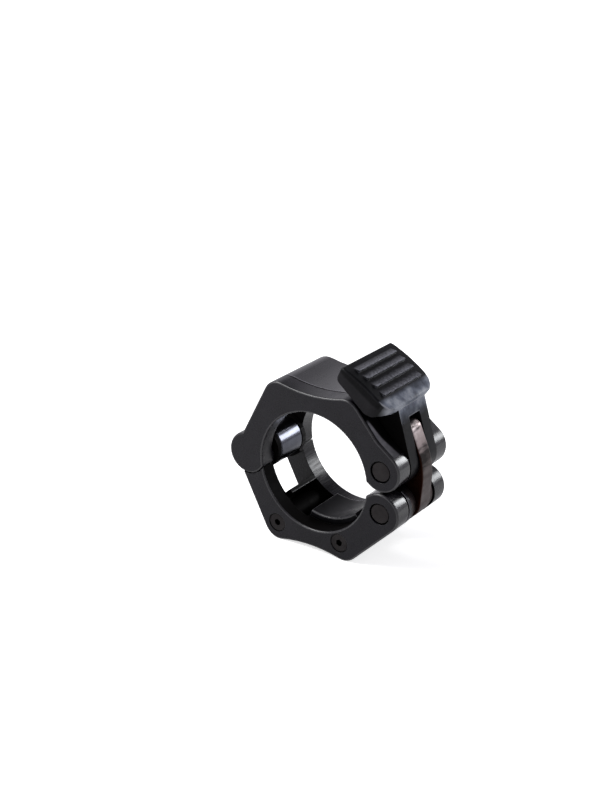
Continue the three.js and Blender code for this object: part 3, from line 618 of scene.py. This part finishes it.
INSERT_TONES = [(0.3, (0.42, 0.3, 0.12)), (0.7, (0.6, 0.45, 0.2))]

# How the metals are brushed: evenly, across the link's band, and lengthwise on a round piece
BRUSHED_EVEN = (1, 1, 1)
BRUSHED_ACROSS = (1, 0.25, 1)
BRUSHED_LENGTHWISE = (1, 0.1, 1)


def make_materials():
    """Each finish by name; a plastic's numbers are its roughness, specular level and grain."""
    return {
        "plate": moulded_plastic("satin_front_plate", PLATE_TONES, (0.23, 0.33), 0.2, 0.05),
        "slope": latch_slope("latch_slope_painted_streak", SLOPE_STREAK_HIGHLIGHT_TONES, (0.4, 0.55), 0.08, 0.2),
        "body": moulded_plastic("satin_jaw_body", BODY_TONES, (0.2, 0.29), 0.42, 0.05),
        "edge": moulded_plastic("edges_painted_highlight", EDGE_HIGHLIGHT_TONES, (0.24, 0.36), 0.5, 0.05, in_gaps=0.5),
        "ear": moulded_plastic("polished_ear", BODY_TONES, (0.16, 0.24), 0.72, 0.04),
        "seam": moulded_plastic("seam_edge_painted_highlight", SEAM_HIGHLIGHT_TONES, (0.24, 0.36), 0.6, 0.05, in_gaps=0.9),
        "bore": bore_wall("rubbed_bore_wall_painted_shade", BODY_TONES, (0.16, 0.34), 0.24, 0.1),
        "inside": moulded_plastic("inner_walls_painted_shade", INSIDE_SHADE_TONES, (0.5, 0.65), 0.03, 0.2),
        "lever": mottled_lever("mottled_lever", LEVER_TONES, (0.26, 0.42), 0.12, 0.14),
        "flank": lever_flank("smooth_lever_flank", FLANK_TONES, (0.45, 0.6), 0.08, 0.12),
        "pad": moulded_plastic("smooth_grip_pad", GRIP_TONES, (0.26, 0.4), 0.05, 0.04),
        "link": machined_metal(
            "browned_link",
            LINK_TONES,
            (0.36, 0.5),
            BRUSHED_ACROSS,
            side=LINK_SIDE_SHADE,
            lengthwise_light=LINK_HIGHLIGHT_AND_SHADE,
        ),
        "pin": machined_metal("blackened_pin", PIN_TONES, (0.35, 0.5), BRUSHED_EVEN),
        "barrel": machined_metal("polished_spacer", BARREL_TONES, (0.16, 0.24), BRUSHED_LENGTHWISE),
        "insert": machined_metal("turned_brass", INSERT_TONES, (0.25, 0.4), BRUSHED_LENGTHWISE),
    }


# The finish of each CAD node
FINISH_OF_NODE = {
    "upper_front_plate": "plate",
    "upper_jaw_body": "body",
    "upper_grip_pad": "pad",
    "upper_screw_hinge_side": "pin",
    "upper_screw_latch_side": "pin",
    "upper_insert_hinge_side": "insert",
    "upper_insert_latch_side": "insert",
    "lower_front_plate": "plate",
    "lower_jaw_body": "body",
    "lower_grip_pad": "pad",
    "lower_screw_hinge_side": "pin",
    "lower_screw_latch_side": "pin",
    "lower_insert_hinge_side": "insert",
    "lower_insert_latch_side": "insert",
    "hinge_pin": "pin",
    "hinge_barrel": "barrel",
    "lever": "lever",
    "lever_pin": "pin",
    "lever_pin_clip": "pin",
    "toggle_link": "link",
    "toggle_pin": "pin",
    "link_pin": "pin",
    "link_pin_clip": "pin",
}

# Copies of the nodes: how triangles merge, and up to which angle a surface is smooth
MERGE_WITHIN = 0.001 * MM
FLAT_UNDER = math.radians(0.4)
SMOOTH_UNDER = math.radians(50)
FLAT_FACE_WEIGHT = 80

# The seam behind the front plate: where each jaw piece's edge lies, and which edges it takes in
PLATE_EDGE = -11 * MM
BODY_EDGE = -10.7 * MM
SEAM_PLANE = {
    "upper_front_plate": PLATE_EDGE,
    "lower_front_plate": PLATE_EDGE,
    "upper_jaw_body": BODY_EDGE,
    "lower_jaw_body": BODY_EDGE,
}
SEAM_WITHIN = 0.01 * MM
SEAM_OUTSIDE = 29.5 * MM
SEAM_SHARP_OVER = math.radians(60)
SHORTEST_SEAM_EDGE = 0.9 * MM
SEAM_SEGMENTS = 3
SEAM_SOFTNESS = {"seam": 0.95 * MM, "inside": 0.3 * MM}

# The bodies' seam edges carry a painted highlight, the plates' a painted shade in front of them
EDGE_FINISH = {
    "upper_front_plate": "inside",
    "lower_front_plate": "inside",
    "upper_jaw_body": "seam",
    "lower_jaw_body": "seam",
    "upper_grip_pad": "edge",
    "lower_grip_pad": "edge",
}
PAD_SOFTNESS = 0.6 * MM
PAD_SEGMENTS = 2
PAD_SHARP_OVER = math.radians(42)


def select_only(piece):
    """Makes a piece the one selected and active object."""
    bpy.ops.object.select_all(action="DESELECT")
    piece.select_set(True)
    bpy.context.view_layer.objects.active = piece


def apply_modifier(piece, kind, name, **settings):
    """Adds a modifier with its settings and applies it to the mesh."""
    select_only(piece)
    modifier = piece.modifiers.new(name, kind)
    for key, value in settings.items():
        setattr(modifier, key, value)
    bpy.ops.object.modifier_apply(modifier=modifier.name)


def merge_triangles(piece):
    """Joins the loose triangles and takes out the edges inside each flat face."""
    select_only(piece)
    bpy.ops.object.mode_set(mode="EDIT")
    bpy.ops.mesh.select_all(action="SELECT")
    bpy.ops.mesh.remove_doubles(threshold=MERGE_WITHIN)
    bpy.ops.mesh.dissolve_limited(angle_limit=FLAT_UNDER)
    bpy.ops.object.mode_set(mode="OBJECT")
    if piece.data.has_custom_normals:
        bpy.ops.mesh.customdata_custom_splitnormals_clear()


def sharp_edges(piece):
    """A piece's sharp edges; the piece is left with nothing selected."""
    select_only(piece)
    bpy.ops.object.mode_set(mode="EDIT")
    bpy.ops.mesh.select_mode(type="EDGE")
    bpy.ops.mesh.select_all(action="DESELECT")
    bpy.ops.mesh.edges_select_sharp(sharpness=SEAM_SHARP_OVER)
    bpy.ops.object.mode_set(mode="OBJECT")
    sharp = [edge for edge in piece.data.edges if edge.select]
    for part in (*piece.data.vertices, *piece.data.edges, *piece.data.polygons):
        part.select = False
    return sharp


def is_on_seam(ends, plane):
    """An edge on the seam's plane, outside the bore, and long enough to round."""
    outside = all(
        abs(end.y - plane) < SEAM_WITHIN and math.hypot(end.x, end.z) > SEAM_OUTSIDE
        for end in ends
    )
    return outside and (ends[0] - ends[1]).length > SHORTEST_SEAM_EDGE


def soften_seam(piece, plane, softness):
    """Rounds the outer edges where a front plate meets its jaw body."""
    points = piece.data.vertices
    for edge in sharp_edges(piece):
        if is_on_seam([points[index].co for index in edge.vertices], plane):
            edge.select = True
            for index in edge.vertices:
                points[index].select = True
    bpy.ops.object.mode_set(mode="EDIT")
    bpy.ops.mesh.bevel(
        offset=softness, segments=SEAM_SEGMENTS, affect="EDGES", clamp_overlap=False, material=1
    )
    bpy.ops.object.mode_set(mode="OBJECT")


def soften_pad(piece):
    """Rounds all edges of a grip pad."""
    apply_modifier(
        piece,
        "BEVEL",
        "soft_edges",
        width=PAD_SOFTNESS,
        segments=PAD_SEGMENTS,
        limit_method="ANGLE",
        angle_limit=PAD_SHARP_OVER,
        use_clamp_overlap=True,
        material=1,
    )


def smooth_copy(node, finish, materials):
    """A copy of a CAD node: triangles merged, edges softened, curves smooth and flats flat."""
    source = frame["nodes"][node]
    piece = bpy.data.objects.new(node + "_smooth", source.data.copy())
    bpy.context.scene.collection.objects.link(piece)
    piece.data.materials.clear()
    piece.data.materials.append(materials[finish])
    merge_triangles(piece)
    if node in EDGE_FINISH:
        piece.data.materials.append(materials[EDGE_FINISH[node]])
    if node in SEAM_PLANE:
        soften_seam(piece, SEAM_PLANE[node], SEAM_SOFTNESS[EDGE_FINISH[node]])
    elif node in EDGE_FINISH:
        soften_pad(piece)
    select_only(piece)
    bpy.ops.object.shade_smooth_by_angle(angle=SMOOTH_UNDER)
    apply_modifier(
        piece, "WEIGHTED_NORMAL", "flat_faces", keep_sharp=True, weight=FLAT_FACE_WEIGHT
    )
    return piece


# Places on the jaws that choose a face's finish
RIM_FROM = 19.2 * MM
RIM_TILT = (0.35, 0.95)
WALL_OUTWARDS = 0.4
BORE_OUTWARDS = -0.7
REAR_FLANGE_FRONT = 11.2 * MM
SEAM_REACH = 0.9 * MM
WINDOW_WALL_FROM = 10 * MM
WINDOW_SIDE = -26 * MM
WINDOW_TOP = -9 * MM
BORE_RADIUS = 28.4 * MM
BORE_FROM = 3 * MM
EAR_X = 35 * MM
EAR_Z = 9.9 * MM
EAR_RADII = (9.1 * MM, 9.6 * MM)
SLOPE_FROM_X = 24 * MM
SLOPE_FROM_Z = 16 * MM
SLOPE_TILT_X = 0.45
SLOPE_TILT_Z = 0.5

# Places on the lever
ARM_SIDE = 10.7 * MM
ARM_WITHIN = 0.2 * MM
FLANK_FROM = 18 * MM
FLANK_FACING = 0.97

# How squarely a face looks along the sleeve: hardly, half, mostly, and nearly straight
ROUND_SIDE = 0.3
HALF_FACING = 0.5
FRONT_FACING = 0.8
SIDE_FACING = 0.9


def faces_outwards(face):
    """How far a face looks away from the sleeve's axis, from -1 to 1."""
    centre = face.center
    radius = math.hypot(centre.x, centre.z)
    return (face.normal.x * centre.x + face.normal.z * centre.z) / radius


def is_inner_wall(face):
    """A wall of the hollow between the flanges, seen only through the bore or a window."""
    return face.center.y < REAR_FLANGE_FRONT and faces_outwards(face) < WALL_OUTWARDS


def is_seam_dark(face):
    """The body's front and the fore part of its rounded seam edge, in the gap's shade."""
    return abs(face.center.y - BODY_EDGE) < SEAM_REACH and face.normal.y < -HALF_FACING


def is_window_wall(face):
    """The rear flange's own front, seen through the bore beside the lower hinge window."""
    centre = face.center
    beside = centre.x < WINDOW_SIDE and centre.z < WINDOW_TOP
    return face.normal.y < -FRONT_FACING and centre.y > WINDOW_WALL_FROM and beside


def is_bore_wall(face):
    """The rear flange's bore."""
    centre = face.center
    in_bore = math.hypot(centre.x, centre.z) < BORE_RADIUS and centre.y > BORE_FROM
    return in_bore and faces_outwards(face) < BORE_OUTWARDS


def is_plate_bore(face):
    """The front plate's bore."""
    return faces_outwards(face) < BORE_OUTWARDS


def is_ear_side(face):
    """The round side of a front ear."""
    from_pin = math.hypot(face.center.x - EAR_X, abs(face.center.z) - EAR_Z)
    return EAR_RADII[0] < from_pin < EAR_RADII[1] and abs(face.normal.y) < ROUND_SIDE


def is_latch_slope(face):
    """The plate's edge under the lever, where the painted highlight streak lies."""
    below_lever = face.center.x > SLOPE_FROM_X and face.center.z > SLOPE_FROM_Z
    return below_lever and face.normal.x > SLOPE_TILT_X and face.normal.z > SLOPE_TILT_Z


def is_rim(face):
    """The narrow chamfer round a jaw's front or back face."""
    return abs(face.center.y) > RIM_FROM and RIM_TILT[0] < abs(face.normal.y) < RIM_TILT[1]


def is_arm_side(face):
    """The outer side of a lever arm, close beside the upper ear."""
    at_side = abs(abs(face.center.y) - ARM_SIDE) < ARM_WITHIN
    return at_side and abs(face.normal.y) > SIDE_FACING


def is_flank(face):
    """A flank of the thumb pad."""
    return abs(face.center.y) > FLANK_FROM and abs(face.normal.y) > FLANK_FACING


# Faces of a piece that have a finish of their own, the first that fits
FACE_FINISHES = {
    "upper_front_plate": [
        ("edge", is_rim),
        ("edge", is_plate_bore),
        ("ear", is_ear_side),
        ("slope", is_latch_slope),
    ],
    "lower_front_plate": [("edge", is_rim), ("inside", is_plate_bore), ("ear", is_ear_side)],
    "upper_jaw_body": [
        ("edge", is_rim),
        ("bore", is_bore_wall),
        ("inside", is_inner_wall),
        ("inside", is_seam_dark),
    ],
    "lower_jaw_body": [
        ("edge", is_rim),
        ("plate", is_window_wall),
        ("bore", is_bore_wall),
        ("inside", is_inner_wall),
        ("inside", is_seam_dark),
    ],
    "lever": [("inside", is_arm_side), ("flank", is_flank)],
}


def finish_faces(piece, face_finishes, materials):
    """Gives each face the first finish of its own that fits it."""
    first_slot = len(piece.data.materials)
    for finish, _ in face_finishes:
        piece.data.materials.append(materials[finish])
    for face in piece.data.polygons:
        for slot, (_, fits) in enumerate(face_finishes, first_slot):
            if fits(face):
                face.material_index = slot
                break


def dress_nodes(materials):
    """Replaces every CAD node by its smooth copy, dressed in its finishes."""
    bodies = {
        node: body
        for body, members in frame["record"]["behaviour"]["bodies"].items()
        for node in members
    }
    for node, finish in FINISH_OF_NODE.items():
        source = frame["nodes"][node]
        source.data.materials.clear()
        source.data.materials.append(materials[finish])
        piece = smooth_copy(node, finish, materials)
        finish_faces(piece, FACE_FINISHES.get(node, []), materials)
        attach(piece, bodies[node])
        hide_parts(node)


# Stage and light; a strength is given for a direct look, for a mirrored one and for the rest
SEEN_DIRECTLY = ("Is Camera Ray", "Is Transmission Ray")
SEEN_MIRRORED = ("Is Glossy Ray",)
WORLD_DIRECT = 1
WORLD_REST = 0.3
WALL_TO_CEILING = (0.46, 0.64)
WALL_AND_CEILING = (0.85, 0.1)
WORLD_TINT = (0.95, 0.93, 1.0)
WHITE = (1.0, 1.0, 1.0)
FLOOR_SIZE = 8
FLOOR_GAP = 0.05 * MM
FLOOR_TONE = (0.82, 0.82, 0.82)
FLOOR_ROUGHNESS = 0.9
FLOOR_SPECULAR = 0.1
FLOOR_SPREAD = (120 * MM, 500 * MM)
FLOOR_NEAR_AND_FAR = (0.7, 0.95)
FLOOR_MIRRORED = 0.15
FLOOR_REST = 0
SOFTBOXES = {
    "overhead_softbox": {
        "place": (-0.36, -0.25, 0.5),
        "aim": (0, 0, 0),
        "size": (0.42, 0.4),
        "power": 5,
        "colour": WHITE,
    },
    "rear_right_softbox": {
        "place": (0.32, 0.47, 0.2),
        "aim": (0.01, 0, 0.01),
        "size": (0.17, 0.2),
        "power": 1.25,
        "colour": (0.96, 0.98, 1),
    },
}


def seen_share(tree, kinds):
    """1 for rays of the named kinds, 0 for others."""
    path = tree.nodes.new("ShaderNodeLightPath")
    share = path.outputs[kinds[0]]
    for kind in kinds[1:]:
        share = add_math(tree, "MAXIMUM", share, path.outputs[kind])
    return share


def seen_strength(tree, direct, mirrored, rest):
    """Strength seen directly, mirrored in gloss, and by all other rays."""
    strength = rest
    for kinds, value in ((SEEN_DIRECTLY, direct), (SEEN_MIRRORED, mirrored)):
        change = add_math(tree, "SUBTRACT", value, rest)
        extra = add_math(tree, "MULTIPLY", seen_share(tree, kinds), change)
        strength = add_math(tree, "ADD", extra, strength)
    return strength


def add_world():
    """White walls, and in the gloss alone a dark ceiling above them."""
    world = bpy.data.worlds.new("white_studio")
    world.use_nodes = True
    tree = world.node_tree
    background = tree.nodes["Background"]
    way = tree.nodes.new("ShaderNodeTexCoord").outputs["Generated"]
    walls = add_range(tree, split_vector(tree, way)["Z"], *WALL_TO_CEILING, *WALL_AND_CEILING)
    strength = seen_strength(tree, WORLD_DIRECT, walls, WORLD_REST)
    tree.links.new(strength, background.inputs["Strength"])
    tint = add_blend(tree, seen_share(tree, SEEN_DIRECTLY), WORLD_TINT, WHITE)
    tree.links.new(tint, background.inputs["Color"])
    bpy.context.scene.world = world


def add_floor():
    """A white floor that keeps the object's shadow and is palest away from it."""
    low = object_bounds()[0][2]
    bpy.ops.object.select_all(action="DESELECT")
    bpy.ops.mesh.primitive_plane_add(size=FLOOR_SIZE, location=(0, 0, low - FLOOR_GAP))
    floor = bpy.context.object
    floor.name = "studio_floor"
    material, tree, shader, place = start_material("studio_white")
    shader.inputs["Base Color"].default_value = (*FLOOR_TONE, 1)
    shader.inputs["Roughness"].default_value = FLOOR_ROUGHNESS
    shader.inputs["Specular IOR Level"].default_value = FLOOR_SPECULAR
    shader.inputs["Emission Color"].default_value = (*WHITE, 1)
    spread = tree.nodes.new("ShaderNodeVectorMath")
    spread.operation = "LENGTH"
    tree.links.new(place, spread.inputs[0])
    pale = add_range(tree, spread.outputs["Value"], *FLOOR_SPREAD, *FLOOR_NEAR_AND_FAR)
    strength = seen_strength(tree, pale, FLOOR_MIRRORED, FLOOR_REST)
    tree.links.new(strength, shader.inputs["Emission Strength"])
    floor.data.materials.append(material)


def add_lights():
    """Two soft lamps, aimed at the collar."""
    for name, box in SOFTBOXES.items():
        data = bpy.data.lights.new(name, "AREA")
        data.shape = "RECTANGLE"
        data.size, data.size_y = box["size"]
        data.energy = box["power"]
        data.color = box["colour"]
        lamp = bpy.data.objects.new(name, data)
        bpy.context.scene.collection.objects.link(lamp)
        lamp.location = box["place"]
        aim = Vector(box["aim"]) - Vector(box["place"])
        lamp.rotation_euler = aim.to_track_quat("-Z", "Y").to_euler()


add_camera()
dress_nodes(make_materials())
add_world()
add_floor()
add_lights()
bpy.context.scene.view_settings.view_transform = "Standard"
